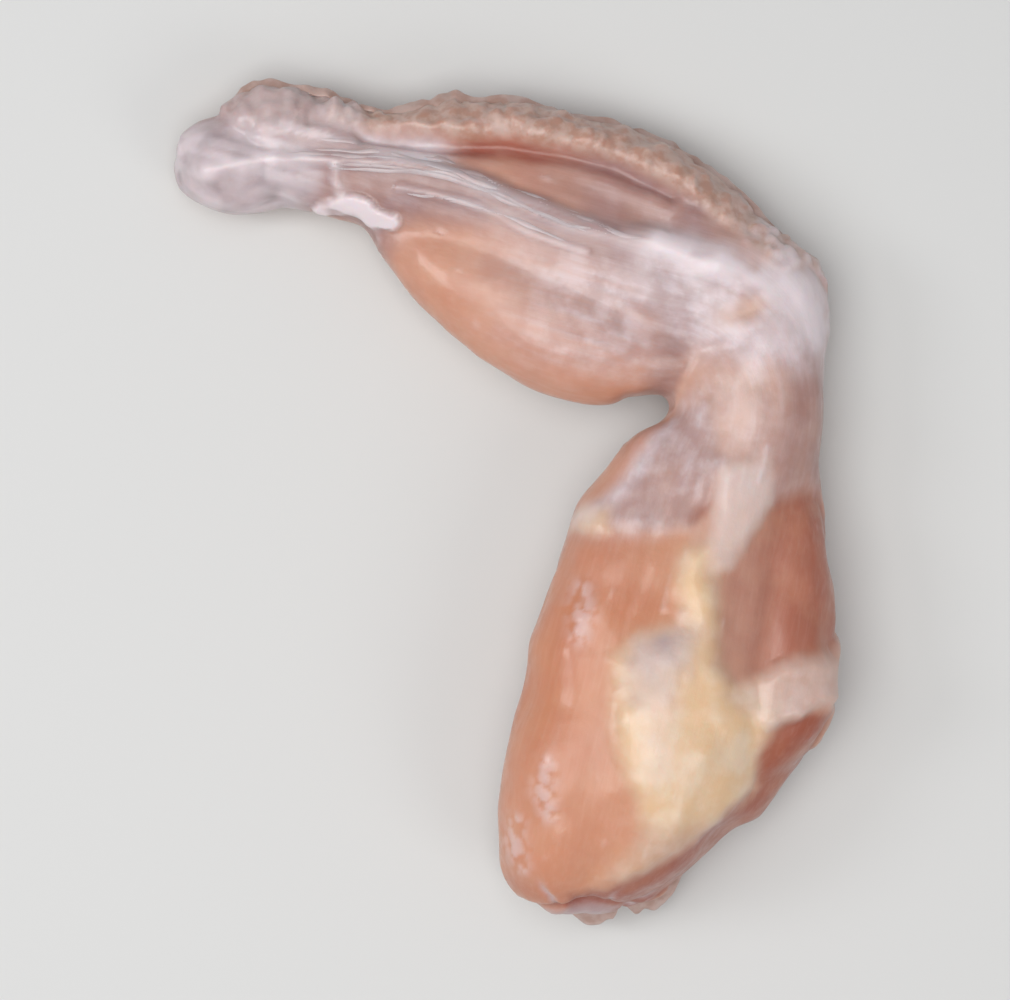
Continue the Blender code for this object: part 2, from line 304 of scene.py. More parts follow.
lay = lay_of(points)
upper = smooth_step(-0.15, 0.45, normals[:, 2])
shown = smooth_step(-0.75, -0.25, normals[:, 2])
shown *= smooth_step(1.5, 6.5, points[:, 2] + 7 * (murmur(points, 5.0, 23) - 0.5))
wander = np.column_stack(
    [murmur(points, 5.0, seed) + 0.4 * murmur(points, 1.7, seed + 9) - 0.7 for seed in (1, 2)])
drift = np.column_stack([murmur(points, 11.0, seed) - 0.5 for seed in (24, 25)])
plan = points[:, :2] + 1.3 * wander + (1 - upper)[:, None] * (2.4 * wander + 14.0 * drift)
plan[:, 1] += 0.45 * (1 - upper) * (14 - points[:, 2])
relief = 0.9 * (murmur(points, 9.0, 3) - 0.5) + 0.4 * (murmur(points, 3.8, 21) - 0.5)
relief += 0.16 * (murmur(lay * (0.4, 1, 1), 2.6, 4) - 0.5)


def patch(outline, edge, facing=upper):
    """A mask seen from above: the signed distance to an outline, from half an edge outside it to half an
    edge inside, on the surface that faces up enough."""
    start = np.array(outline, float)
    side = np.roll(start, -1, axis=0) - start
    offset = plan[:, None] - start
    share = np.clip((offset * side).sum(-1) / (side**2).sum(-1), 0, 1)
    distance = np.linalg.norm(offset - share[..., None] * side, axis=-1).min(axis=1)
    end_y = start[:, 1] + side[:, 1]
    spans = (start[:, 1] > plan[:, 1, None]) != (end_y > plan[:, 1, None])
    crossing = start[:, 0] + side[:, 0] * offset[..., 1] / np.where(side[:, 1] == 0, 1, side[:, 1])
    inside = (spans & (plan[:, 0, None] < crossing)).sum(axis=1) % 2 == 1
    return facing * smooth_step(-edge / 2, edge / 2, np.where(inside, distance, -distance))


def strand(path, half_width, facing=upper):
    """A mask seen from above: the bell exp(-(d/w)²) of the distance to a line, w being its half width
    there."""
    nodes = through(path, np.linspace(0, 1, STRAND_POINTS))
    widths = through(half_width, np.linspace(0, 1, STRAND_POINTS))
    start, side = nodes[:-1], np.diff(nodes, axis=0)
    offset = (points[:, :2] + 0.5 * wander)[:, None] - start
    share = np.clip((offset * side).sum(-1) / (side**2).sum(-1), 0, 1)
    distance = np.linalg.norm(offset - share[..., None] * side, axis=-1)
    nearest = distance.argmin(axis=1)
    return facing * np.exp(-((distance.min(axis=1) / widths[nearest]) ** 2))


# Colour of the bare muscles: pale beige pink, orange where they are thin and lit through, and dark red where
# the knife has bared the deep ones. Part of the red is painted shade: along the crease under the rim, down
# the drumette's right side, and on the low right muscle under the fat's edge, which is partly its own colour.
# A darker tone of painted shade, partly the dark muscle under a thin sheath, lies on the drumette's right
# side and the upper belly's right end, and the left belly is painted paler at its foot for how the light
# falls. The thickest parts bulge a little, and beads of wet tissue, whitened as painted glints, stand on the
# left one.

LOWER_BELLY = [(-14.2, 37.7), (-9.3, 37.7), (-3.1, 36.9), (3.7, 35.3), (10.6, 32.8), (16.8, 28.5),
               (19.9, 23.6), (20.5, 18.0), (19.2, 13.9), (13.0, 9.8), (5.6, 9.8), (0.6, 11.6),
               (-7.6, 16.6), (-12.5, 21.6), (-17.2, 28.5), (-16.5, 34.1)]
UPPER_BELLY = [(-19.8, 49.8), (-14.2, 50.1), (-5.6, 50.1), (1.5, 49.8), (8.4, 48.9), (14.0, 47.1),
               (18.8, 45.1), (23.6, 42.6), (24.6, 39.2), (22.2, 36.4), (15.5, 37.0), (9.3, 38.9),
               (3.7, 41.0), (-1.8, 43.2), (-6.8, 44.7), (-11.8, 46.2), (-16.7, 48.0)]
RIM_CREASE = [(-19.0, 48.8), (-11.6, 48.5), (-4.2, 48.0), (1.5, 47.4), (8.2, 46.5), (13.7, 44.9),
              (18.4, 42.9), (22.4, 41.0)]
BAND_FLUSH = [(-22.0, 44.6), (-16.7, 44.3), (-12.2, 42.6), (-7.3, 40.4), (-2.3, 39.0), (-9.8, 38.9),
              (-15.5, 40.6), (-21.3, 42.1)]
RIGHT_BELLY = [(27.6, -9.4), (32.1, -5.5), (35.4, -0.5), (40.5, 1.6), (47.0, 1.0), (47.0, -10.0),
               (47.0, -20.7), (38.8, -21.0), (34.3, -23.0), (29.8, -24.4), (27.6, -21.2), (27.4, -15.6)]
LEFT_BELLY = [(2.2, -5.3), (14.6, -4.5), (24.2, -4.4), (24.2, -10.0), (23.4, -15.4), (18.3, -17.8),
              (14.6, -21.3), (14.6, -29.2), (16.4, -35.4), (17.8, -40.9), (18.3, -44.5), (15.6, -48.4),
              (12.0, -51.6), (8.7, -57.4), (-1.4, -56.8), (-4.0, -49.8), (-4.5, -39.1), (-3.0, -32.0),
              (-1.2, -26.1), (0.5, -18.9), (2.0, -11.2)]
SIDE_SHADE = [(37.0, 20.0), (47.0, 20.0), (47.0, 0.0), (40.5, 1.2), (35.7, 0.0), (35.6, 5.4),
              (37.5, 12.0)]
LOW_RIGHT = [(40.2, -28.1), (36.4, -29.0), (33.9, -33.9), (32.8, -38.4), (28.4, -43.2), (22.8, -47.0),
             (16.0, -50.4), (8.8, -52.8), (8.8, -58.0), (20.0, -58.0), (31.0, -50.0), (41.0, -39.0),
             (47.0, -28.0)]
NECK_ORANGE = [(22.2, 12.0), (21.2, 9.4), (17.9, 4.8), (13.4, -0.7), (9.6, -2.6), (7.0, -1.0),
               (14.0, 10.0), (20.0, 14.0)]
BEADS = [[(10.9, -12.0), (10.8, -15.2), (10.2, -18.4)], [(5.6, -35.0), (5.2, -38.7), (5.8, -42.0)],
         [(1.6, -43.0), (1.4, -46.2), (2.6, -49.0)]]

lower_belly = patch(LOWER_BELLY, 6.0, shown)
upper_belly = patch(UPPER_BELLY, 2.0)
right_belly = patch(RIGHT_BELLY, 3.0, shown)
left_belly = patch(LEFT_BELLY, 3.4, shown)
side_shade = patch(SIDE_SHADE, 5.0, shown)
# The low right muscle lies under the fat's edge: its deep red is partly its own colour and partly painted
# shade.
low_right = patch(LOW_RIGHT, 2.4, shown)
neck_orange = patch(NECK_ORANGE, 1.6, shown)
# The crease under the rim: a groove in the relief, and a line of painted shade in the red.
rim_crease_and_shade = strand(RIM_CREASE, [0.9, 1.2, 1.3, 1.3, 1.0])
band_flush = patch(BAND_FLUSH, 2.4)
# Raised beads on the left belly, whitened in the tendon layer as painted glints.
beads = sum(strand(path, [1.2, 1.6, 1.2]) for path in BEADS)
beads *= smooth_step(0.4, 0.85, globules(points, 1.5, 31))

bundles = murmur(lay * (0.12, 1, 1), 2.3, 11)
# Painted light and shade, for how the light falls: the left belly gets more red over its upper part and less
# orange at its foot, which is painted paler.
orange = 0.5 + 0.25 * smooth_step(-9, -16, points[:, 1]) + 0.25 * smooth_step(-38, -26, points[:, 1])
orange *= left_belly
orange += lower_belly * (
    0.2 + 0.55 * smooth_step(34, 12, points[:, 1]) + 0.2 * smooth_step(4, -8, points[:, 0]))
orange += 0.6 * neck_orange + 0.25 * upper_belly * smooth_step(12, 0, points[:, 0]) + 0.5 * low_right
orange += 0.35 * right_belly * smooth_step(32, 39, points[:, 0])
red = upper_belly * 0.3 * smooth_step(-20, -8, points[:, 0])
red += 0.14 * left_belly * smooth_step(-40, -28, points[:, 1])
red += 0.25 * side_shade
# Painted shade, partly the dark muscle under a thin sheath: a dark tone over the drumette's right side and
# the upper belly's right end.
shade_and_dark_veil = 0.5 * side_shade + 0.7 * upper_belly * smooth_step(0, 16, points[:, 0])
# Painted shade: the red along the crease under the rim.
red += 0.95 * rim_crease_and_shade + (0.42 + 0.3 * smooth_step(33, 40, points[:, 0])) * right_belly + 0.9 * low_right
red += 0.55 * band_flush
red += 0.35 * (1 - shown) * smooth_step(0.4, 0.7, murmur(points, 13.0, 12))
red += 0.25 * (bundles - 0.5) * (0.2 + red)
relief += -0.8 * upper_belly - 1.3 * rim_crease_and_shade - 0.6 * right_belly - 0.5 * low_right
relief += 0.16 * (bundles - 0.5) * (0.3 + upper_belly + right_belly + low_right) + 0.14 * beads
relief += 1.9 * strand([(42.5, -28), (38.5, -35), (33.5, -41.5)], [3.0, 5.0, 3.0], 1.0)
relief += 1.2 * strand([(10.0, -1.0), (7.8, -6.0), (6.4, -13.0), (5.4, -19.0)], [4.0, 6.0, 6.0, 4.0], 1.0)
relief -= 1.1 * strand([(17.0, 12.4), (21.5, 12.6)], [2.0, 3.4], 1.0)


# The fascia: the bluish white sheath round the muscles. It is thick at the wrist, thins to a veil over the
# bellies, and closes over the elbow, and its fibres show as long pale streaks.

NECK_VEIL = [(22.6, 11.8), (27.6, 13.0), (28.7, 4.6), (27.0, -0.5), (24.2, -3.8), (18.6, -3.6),
             (12.5, -3.8), (10.2, -4.4), (13.6, -0.5), (18.1, 4.8), (21.4, 9.6)]
NECK_EDGE = [(22.0, 10.7), (18.6, 5.7), (14.2, 0.1), (10.0, -3.6)]
BELLY_EDGE = [(10.8, -4.2), (17.5, -3.9), (23.7, -3.4)]
PINK_FLAP = [(28.7, 4.0), (35.4, 5.4), (35.9, -0.5), (33.2, -4.4), (29.8, -8.9), (27.4, -9.7),
             (27.0, -6.6), (28.5, -1.6)]
ELBOW_WHITE = [(20.4, 35.2), (27.0, 33.0), (33.5, 32.0), (39.1, 31.4), (47.1, 28.9), (47.4, 22.3),
               (46.8, 17.4), (37.8, 17.6), (31.6, 18.4), (25.4, 20.3), (19.5, 24.0), (15.0, 30.0)]
ELBOW_CREAM = [(25.4, 16.0), (31.0, 18.0), (38.0, 17.0), (38.0, 8.0), (35.4, 4.4), (28.8, 3.6),
               (27.0, 8.0)]
RED_LINE = [(28.2, 4.6), (27.6, 0.1), (24.8, -2.7)]

neck_veil = patch(NECK_VEIL, 2.4)
neck_edge = strand(NECK_EDGE, [0.9, 1.2, 1.1, 0.8])
belly_edge = strand(BELLY_EDGE, [1.6, 1.8, 1.2])
pink_flap = patch(PINK_FLAP, 2.6) * (0.7 + 0.5 * murmur(lay * (0.2, 1, 1), 1.8, 26))
elbow_white = patch(ELBOW_WHITE, 9.0, shown)
elbow_cream = patch(ELBOW_CREAM, 7.0)
red_line = strand(RED_LINE, [0.6, 1.1, 0.7])

streaks = murmur(lay * (0.08, 1.0, 1.0), 2.4, 5) * 0.6 + murmur(lay * (0.12, 2.4, 2.4), 1.9, 6) * 0.4
clouds = 0.6 * murmur(lay * (0.5, 1.0, 1.0), 5.0, 13) + 0.4 * murmur(points, 2.1, 22)
band = smooth_step(6, -4, lay[:, 0]) * upper * np.clip(1 - lower_belly - upper_belly - rim_crease_and_shade, 0, 1)
neck = smooth_step(4, 14, lay[:, 0]) * smooth_step(38, 26, lay[:, 0]) * upper
neck *= (1 - right_belly) * (1 - left_belly)
elbow_veil = lower_belly * smooth_step(-10, 16, points[:, 0]) * smooth_step(11, 26, points[:, 1])
fascia = 0.27 * band + 0.58 * neck * (1 - 0.5 * side_shade) + 0.3 * neck_veil + 1.1 * elbow_veil
fascia -= 0.3 * neck_orange
fascia += upper_belly * (
    0.12 + 0.2 * smooth_step(4, 20, points[:, 0]) + 1.0 * smooth_step(-4, -12, points[:, 0]))
# Painted shade, partly the dark muscle under a thin sheath: the same dark tone over the band and the neck's
# veil.
shade_and_dark_veil += 1.0 * band + 0.55 * neck_veil
fascia = np.maximum(fascia, (1 - shown) * 0.8 * smooth_step(0.45, 0.62, murmur(lay * (0.35, 1, 1), 11.0, 7)))
fascia = fascia * (0.64 + 0.3 * smooth_step(0.3, 0.7, streaks) + 0.5 * (clouds - 0.4)) + 0.5 * neck_edge
fascia += 0.5 * belly_edge * clouds
fascia = np.maximum(
    fascia, elbow_white * (0.88 + 0.2 * smooth_step(0.3, 0.6, streaks) + 0.45 * (clouds - 0.45)))
relief += 0.3 * neck_veil + 0.35 * pink_flap - 0.15 * red_line
relief += 0.25 * np.clip(fascia, 0, 1) * (streaks + clouds - 1)
relief += 0.2 * neck_edge
fascia += 0.2 * pink_flap
red += 0.75 * red_line + 0.12 * band
red *= 1 - 0.8 * pink_flap
shade_and_dark_veil *= 1 - pink_flap
orange *= 1 - 0.6 * pink_flap


# The tendons: white strands from the wrist's knuckles, which fan out into the fascia. One was cut, and its
# bright end stands free above the lower muscle. A white streak along the elbow in the tendon layer is a
# painted highlight.

MIDDLE_TENDON = [(-40.3, 44.5), (-33.5, 45.9), (-24.2, 46.0), (-16.7, 45.5), (-9.3, 44.5), (-3.1, 42.1),
                 (2.5, 39.4), (8.7, 37.2), (15.5, 35.6), (20.5, 34.4), (28.5, 31.6)]
UPPER_TENDON = [(-32.8, 49.0), (-27.3, 49.3), (-20.4, 48.3), (-14.2, 47.1), (-8.7, 45.9)]
LOWER_TENDON = [(-14.2, 42.1), (-6.8, 40.3), (-1.8, 38.4), (3.7, 35.6), (10.6, 33.5)]
CUT_TENDON = [(-26.0, 40.8), (-21.7, 41.0), (-16.7, 40.0), (-14.2, 38.9), (-14.5, 35.9), (-16.1, 36.3),
              (-19.2, 38.1), (-22.9, 38.9), (-25.4, 39.0)]
TENDON_STRAP = [(-22.9, 45.2), (-22.8, 43.4), (-22.3, 41.4)]
ELBOW_SHINE = [(21.0, 34.6), (27.0, 31.8), (34.0, 30.0), (39.5, 27.6), (41.5, 23.6)]

middle_tendon = strand(MIDDLE_TENDON, [1.2, 1.0, 0.9, 1.0, 1.1, 1.3, 1.5, 1.5, 1.6, 1.8, 2.2])
upper_tendon = strand(UPPER_TENDON, [1.6, 1.9, 1.6, 1.1, 0.8])
lower_tendon = strand(LOWER_TENDON, [0.5, 0.7, 0.8, 0.7, 0.6])
strap = strand(TENDON_STRAP, [0.7, 0.8, 0.7])
# A painted highlight: a white streak along the elbow, with a little relief under it.
elbow_shine = strand(ELBOW_SHINE, [1.6, 2.0, 1.8, 3.6, 2.8])
cut_tendon = patch(CUT_TENDON, 2.4) + 0.9 * (murmur(lay * (0.35, 1, 1), 1.4, 33) - 0.5)
cut_tendon = smooth_step(0.3, 0.75, cut_tendon)
threads = 0.55 + 0.6 * smooth_step(0.35, 0.6, murmur(lay * (0.07, 1.6, 1.6), 1.6, 14))
tendon = (0.44 * middle_tendon + 0.5 * upper_tendon + 0.35 * lower_tendon + 0.6 * strap) * threads
tendon += 0.65 * elbow_white * smooth_step(0.25, 0.85, 0.7 * clouds + 0.3 * streaks)
# The beads are whitened here as painted glints.
tendon += 0.42 * pink_flap + 0.4 * beads
tendon += 0.35 * neck_edge + 0.25 * upper_belly * smooth_step(-4, -12, points[:, 0])
# The cut tendon's white end, and the elbow's painted highlight.
tendon += 1.0 * cut_tendon + 0.85 * elbow_shine * smooth_step(0.3, 0.6, clouds)
relief += 0.7 * middle_tendon + 0.5 * upper_tendon + 0.3 * lower_tendon
relief += 0.8 * cut_tendon * (0.6 + 0.8 * clouds)
relief += 0.4 * strap + 0.35 * elbow_shine * clouds


# The fat: cream lumps in a pad over the drumette's middle, a strip up from it, a flap to its outer side,
# and the ragged pale rim left along the top of the flat where the skin was cut away.

FAT = [(24.2, -6.6), (27.0, -6.6), (27.8, -14.1), (27.8, -21.4), (31.2, -26.4), (34.6, -28.1),
       (34.2, -33.1), (33.2, -37.9), (29.0, -43.0), (23.4, -46.8), (18.3, -50.0), (13.8, -52.4),
       (12.7, -51.6), (15.5, -48.2), (18.3, -44.9), (17.8, -39.8), (16.1, -35.4), (14.4, -29.2),
       (14.4, -21.9), (18.3, -18.0), (22.8, -16.9), (23.4, -12.4)]
BLUE_SPOT = [(17.2, -18.6), (21.1, -16.6), (24.8, -18.0), (24.2, -22.5), (21.7, -26.4), (17.8, -26.4),
             (16.6, -22.5)]
PALE_SPOT = [(17.8, -27.0), (21.7, -26.4), (23.1, -32.0), (22.8, -37.0), (20.0, -38.2), (18.0, -33.1)]
SIDE_FLAP = [(33.4, -23.6), (36.8, -21.6), (47.2, -20.9), (47.2, -25.4), (40.7, -26.4), (38.5, -28.6),
             (34.6, -29.8), (31.2, -28.1), (28.4, -25.3)]
YELLOW_EDGE = [(6.4, -1.7), (14.0, -1.1), (14.0, -4.4), (6.1, -5.3)]
RIM = [(-24.8, 55.3), (-14.2, 55.4), (-5.6, 56.2), (0.6, 56.2), (2.5, 54.1), (8.7, 53.4), (15.5, 51.6),
       (22.3, 49.4), (29.9, 46.0), (34.3, 41.7), (38.6, 37.3), (42.3, 32.4), (37.8, 31.0), (31.3, 35.4),
       (26.3, 39.0), (22.6, 41.9), (18.3, 44.4), (13.6, 46.3), (8.0, 47.9), (1.4, 48.9), (-5.5, 49.4),
       (-14.0, 49.9), (-20.2, 50.2), (-24.0, 50.9)]

lumps = 0.65 * globules(points, 3.4, 8) + 0.35 * globules(points, 1.5, 9)
swells = murmur(points, 4.2, 18)
grit = globules(points, 1.9, 15) * smooth_step(0.35, 0.6, murmur(points, 2.6, 16))
fat_pad = patch(FAT, 4.0)
fat_film = patch(FAT, 11.0)
blue_spot = patch(BLUE_SPOT, 7.0) * (0.5 + clouds)
pale_spot = patch(PALE_SPOT, 6.5) * (0.5 + clouds)
side_flap = patch(SIDE_FLAP, 2.2)
yellow_edge = patch(YELLOW_EDGE, 2.4)
rim = patch(RIM, 1.6, shown)
fat_tail = smooth_step(-40, -47, points[:, 1])
fat = fat_pad * (0.75 + 0.4 * (swells - 0.5)) * (1 - 0.8 * blue_spot) * (1 - 0.5 * pale_spot)
fat *= 1 - 0.6 * fat_tail
fat += 0.4 * fat_film + side_flap * (0.25 + 0.3 * smooth_step(38, 31, points[:, 0])) + 0.6 * yellow_edge
fat += 0.35 * pink_flap
fat += 0.18 * elbow_cream * clouds
fat += 0.3 * (1 - shown) * smooth_step(0.6, 0.7, murmur(points, 8.0, 17)) + 0.2 * rim * lumps * clouds
trim = 0.3 * side_flap + rim * (0.8 + 0.2 * lumps) * (1 - 0.5 * rim_crease_and_shade) + 0.4 * fat_pad * fat_tail
fascia = fascia * (1 - fat_pad) * (1 - rim) + 0.3 * blue_spot * fat_pad + 0.15 * rim * (1 - lumps)
fascia += 0.3 * rim * smooth_step(18, 30, points[:, 0]) + 0.45 * side_flap * clouds
fat *= 1 - 0.9 * low_right
trim *= 1 - 0.9 * low_right
fascia *= 1 - 0.8 * low_right
tendon += 0.18 * pale_spot * fat_pad + 0.25 * side_flap * lumps
tendon += 0.5 * rim * smooth_step(28, 36, points[:, 0]) * smooth_step(0.5, 0.75, lumps)
tendon *= 1 - 0.9 * low_right
relief += fat_pad * (0.1 + 0.6 * swells + 0.15 * lumps) + 0.8 * fat_film
relief += side_flap * (0.8 + 0.3 * lumps + 0.3 * swells) * smooth_step(30, 36, points[:, 0])
shreds = globules(points, 1.25, 34) * smooth_step(0.3, 0.6, murmur(points, 2.0, 35))
relief += rim * (0.1 + 0.5 * lumps + 0.5 * grit + 0.5 * shreds + 0.6 * (swells - 0.5))
relief += 0.4 * yellow_edge * lumps


# The joints: grey white cartilage under the wrist's torn tissue, the elbow's capsule with its one amber
# hollow, and the smooth head of the upper bone, which shows between the muscles at the cut shoulder end.

WRIST = [(-48.3, 47.4), (-42.1, 51.0), (-36.6, 50.9), (-32.8, 49.3), (-26.0, 47.4), (-25.1, 44.6),
         (-26.0, 40.3), (-28.5, 39.4), (-36.6, 36.8), (-43.4, 37.6), (-48.6, 43.4)]
WRIST_SCRAP = [(-38.2, 52.7), (-35.1, 58.2), (-26.0, 58.8), (-22.8, 55.9), (-19.2, 53.3), (-19.2, 50.2),
               (-24.2, 49.3), (-28.5, 49.0), (-32.8, 49.6), (-35.9, 50.8)]
HOLLOW = (32.0, 25.0)
SHOULDER_HEAD = (-3.5, 10.5)
SHOULDER_RADIUS = (5.6, 4.6)
MUSCLE_ENDS = [(-10.5, 13.0), (-3.0, 20.5), (5.5, 17.5), (9.0, 9.5), (3.0, 4.0), (-8.5, 4.5)]

wrist = patch(WRIST, 4.0, shown)
wrist_scrap = patch(WRIST_SCRAP, 2.4, shown)
around = (points[:, :2] + 1.6 * wander - HOLLOW) @ [[0.97, -0.24], [0.24, 0.97]] / (3.2, 1.5)
hollow = upper * np.exp(-(around**2).sum(axis=1))
hollow_rim = upper * np.exp(-((np.hypot(*around.T) - 1.6) ** 2) / 0.2)
drumette_plan = points[:, :2] - ELBOW
cut_end = smooth_step(78, 84, drumette_plan @ DRUMETTE_AHEAD)
cut_end *= smooth_step(0.45, 0.75, normals[:, :2] @ DRUMETTE_AHEAD)
end_plan = np.column_stack([drumette_plan @ DRUMETTE_OUTWARD, points[:, 2]]) + 2.2 * wander
from_head = np.hypot(*((end_plan - SHOULDER_HEAD) / SHOULDER_RADIUS).T)
head = cut_end * smooth_step(1.3, 0.5, from_head + 0.3 * (clouds - 0.5))
head_ring = cut_end * np.exp(-((from_head - 1.25) ** 2) / 0.03)
to_ends = np.sort(np.linalg.norm(end_plan[:, None] - MUSCLE_ENDS, axis=-1), axis=1)
seams = cut_end * np.exp(-((to_ends[:, 1] - to_ends[:, 0]) ** 2) / 1.1) * smooth_step(1.1, 1.5, from_head)
cartilage = wrist * (0.65 + 0.3 * streaks) + 0.45 * head
red += 0.5 * head_ring + 0.3 * cut_end * (1 - head)
fascia += seams * (0.3 + 0.6 * clouds) + 0.35 * head
tendon += 0.35 * head * clouds + 0.3 * seams * clouds
gristle = 0.6 * hollow * (0.5 + clouds)
fascia = fascia * (1 - 0.8 * hollow) + 0.45 * wrist + 0.25 * hollow_rim
tendon += wrist * (0.3 * smooth_step(0.45, 0.65, streaks) + 0.35 * smooth_step(0.45, 0.65, clouds))
tendon += 0.35 * wrist_scrap * lumps
fat *= 1 - wrist
trim += 0.55 * wrist_scrap
cartilage += 0.3 * wrist_scrap + 0.5 * blue_spot * fat_pad * (0.5 + clouds)
knobs = murmur(points, 4.5, 10) + 0.4 * murmur(lay * (0.3, 1, 1), 1.6, 19)
relief += 1.2 * head * np.clip(1 - from_head**2, 0, 1) - 0.8 * head_ring - 0.5 * seams
relief += wrist_scrap * (1.1 * lumps + 0.5 * grit + 0.4 * shreds - 0.2) + 1.1 * wrist * (knobs - 0.7)
relief -= 0.55 * hollow


# The finished meat: the skin with all its layers raised, settled on the table, and its wet, slightly clear
# finish.

SETTLING = 1.2
FLESH = (0.56, 0.310, 0.235, 1), (0.61, 0.360, 0.285, 1)
ORANGE_FLESH = (0.60, 0.243, 0.130, 1)
RED_FLESH = (0.33, 0.078, 0.042, 1)
# The dark tone of painted shade, partly the dark muscle under a thin sheath.
SHADE_AND_DARK_VEIL_TONE = (0.28, 0.135, 0.12, 1)
PALE_FIBRES = (0.80, 0.58, 0.50, 1)
DARK_BUNDLES = (0.47, 0.19, 0.13, 1)
WARM_BLOTCHES = (0.66, 0.36, 0.20, 1)
SHEATH = (0.50, 0.375, 0.38, 1), (0.70, 0.605, 0.635, 1)
CREAM_FAT = (0.75, 0.51, 0.31, 1), (0.79, 0.60, 0.43, 1)
SKIN_TRIM = (0.47, 0.27, 0.205, 1), (0.57, 0.40, 0.34, 1)
CARTILAGE = (0.39, 0.32, 0.34, 1), (0.52, 0.435, 0.455, 1)
WHITE_TENDON = (0.76, 0.665, 0.69, 1)
AMBER_GRISTLE = (0.53, 0.30, 0.21, 1)

points += normals * relief[:, None]
under = np.minimum(points[:, 2] - SETTLING, 0)
points[:, 2] += SETTLING * np.exp(under / SETTLING) - SETTLING - under
points[:, 2] -= points[:, 2].min()
meat_data.vertices.foreach_set("co", (points * MM).astype(np.float32).ravel())
masks = {"orange": orange, "red": red, "shade_and_dark_veil": shade_and_dark_veil, "fascia": fascia, "tendon": tendon, "fat": fat,
         "trim": trim, "cartilage": cartilage, "gristle": gristle}
for name, values in masks.items():
    layer = meat_data.attributes.new(name, "FLOAT", "POINT")
    layer.data.foreach_set("value", np.clip(values, 0, 1).astype(np.float32))
lay_layer = meat_data.attributes.new("lay", "FLOAT_VECTOR", "POINT")
lay_layer.data.foreach_set("vector", lay.astype(np.float32).ravel())
meat_data.update()
meat = placed("wing_meat", meat_data)


def plug(tree, socket, value):
    """Give a socket a link from another node's output, or a plain value."""
    if isinstance(value, bpy.types.NodeSocket):
        tree.links.new(value, socket)
    else:
        socket.default_value = value


def add_node(tree, kind, settings=None, **inputs):
    """A node of a kind with its settings, and inputs that are either values or another node's output."""
    node = tree.nodes.new(kind)
    for name, value in (settings or {}).items():
        setattr(node, name, value)
    for name, value in inputs.items():
        plug(tree, node.inputs[name.replace("_", " ")], value)
    return node


def mask(tree, name):
    """One of the masks of the meat's layers."""
    return add_node(tree, "ShaderNodeAttribute", {"attribute_name": name}).outputs["Fac"]


def blended(tree, amount, under, over):
    """Two colours mixed by an amount."""
    mix = tree.nodes.new("ShaderNodeMix")
    mix.data_type = "RGBA"
    for socket, value in zip((mix.inputs[0], mix.inputs[6], mix.inputs[7]), (amount, under, over)):
        plug(tree, socket, value)
    return mix.outputs[2]


def worked(tree, operation, *values):
    """The result of a Math node on two or three values."""
    node = tree.nodes.new("ShaderNodeMath")
    node.operation = operation
    for socket, value in zip(node.inputs, values):
        plug(tree, socket, value)
    return node.outputs[0]


def ranged(tree, value, low, high, to_low=0.0, to_high=1.0):
    """A value's smooth share of the way from low to high, spread between two results."""
    node = add_node(tree, "ShaderNodeMapRange", {"interpolation_type": "SMOOTHSTEP"})
    tree.links.new(value, node.inputs["Value"])
    for name, number in zip(("From Min", "From Max", "To Min", "To Max"), (low, high, to_low, to_high)):
        node.inputs[name].default_value = number
    return node.outputs["Result"]


def moist_mottle_group():
    """The unevenness of raw wet tissue, which every material of the wing shares: one cloudy noise that
    blends a thin and a thick colour, and gives the film of juice its roughness and the tissue its
    height."""
    group = bpy.data.node_groups.new("moist_mottle", "ShaderNodeTree")
    for name, kind in (("Place", "Vector"), ("Scale", "Float"), ("Thin", "Color"), ("Thick", "Color")):
        group.interface.new_socket(name, in_out="INPUT", socket_type="NodeSocket" + kind)
    for name, kind in (("Color", "Color"), ("Roughness", "Float"), ("Height", "Float")):
        group.interface.new_socket(name, in_out="OUTPUT", socket_type="NodeSocket" + kind)
    given = group.nodes.new("NodeGroupInput").outputs
    result = group.nodes.new("NodeGroupOutput").inputs
    noise = add_node(group, "ShaderNodeTexNoise", Vector=given["Place"], Scale=given["Scale"], Detail=4.0)
    cloud = noise.outputs["Fac"]
    colour = blended(group, ranged(group, cloud, 0.35, 0.65), given["Thin"], given["Thick"])
    group.links.new(colour, result["Color"])
    group.links.new(ranged(group, cloud, 0.3, 0.7, 0.30, 0.46), result["Roughness"])
    group.links.new(cloud, result["Height"])
    return group


moist_mottle = moist_mottle_group()


def mottled(tree, place, scale, thin, thick):
    """The moist mottle in a material: its colour, roughness and height."""
    outputs = add_node(tree, "ShaderNodeGroup", {"node_tree": moist_mottle}, Place=place, Scale=scale,
                       Thin=thin, Thick=thick).outputs
    return outputs["Color"], outputs["Roughness"], outputs["Height"]


def new_finish(name):
    """A new material, with its node tree, its shader and the place on its piece."""
    finish = bpy.data.materials.new(name)
    finish.use_nodes = True
    tree = finish.node_tree
    place = add_node(tree, "ShaderNodeTexCoord").outputs["Object"]
    return finish, tree, tree.nodes["Principled BSDF"], place


def let_light_in(shader, weight, radius, scale):
    """The light that goes a little way into wet tissue, the red furthest, and comes out again."""
    shader.inputs["Subsurface Weight"].default_value = weight
    shader.inputs["Subsurface Radius"].default_value = radius
    shader.inputs["Subsurface Scale"].default_value = scale


def film_of_juice(shader):
    """The clear wet film on top of the tissue."""
    shader.inputs["Coat Weight"].default_value = 0.35
    shader.inputs["Coat Roughness"].default_value = 0.18


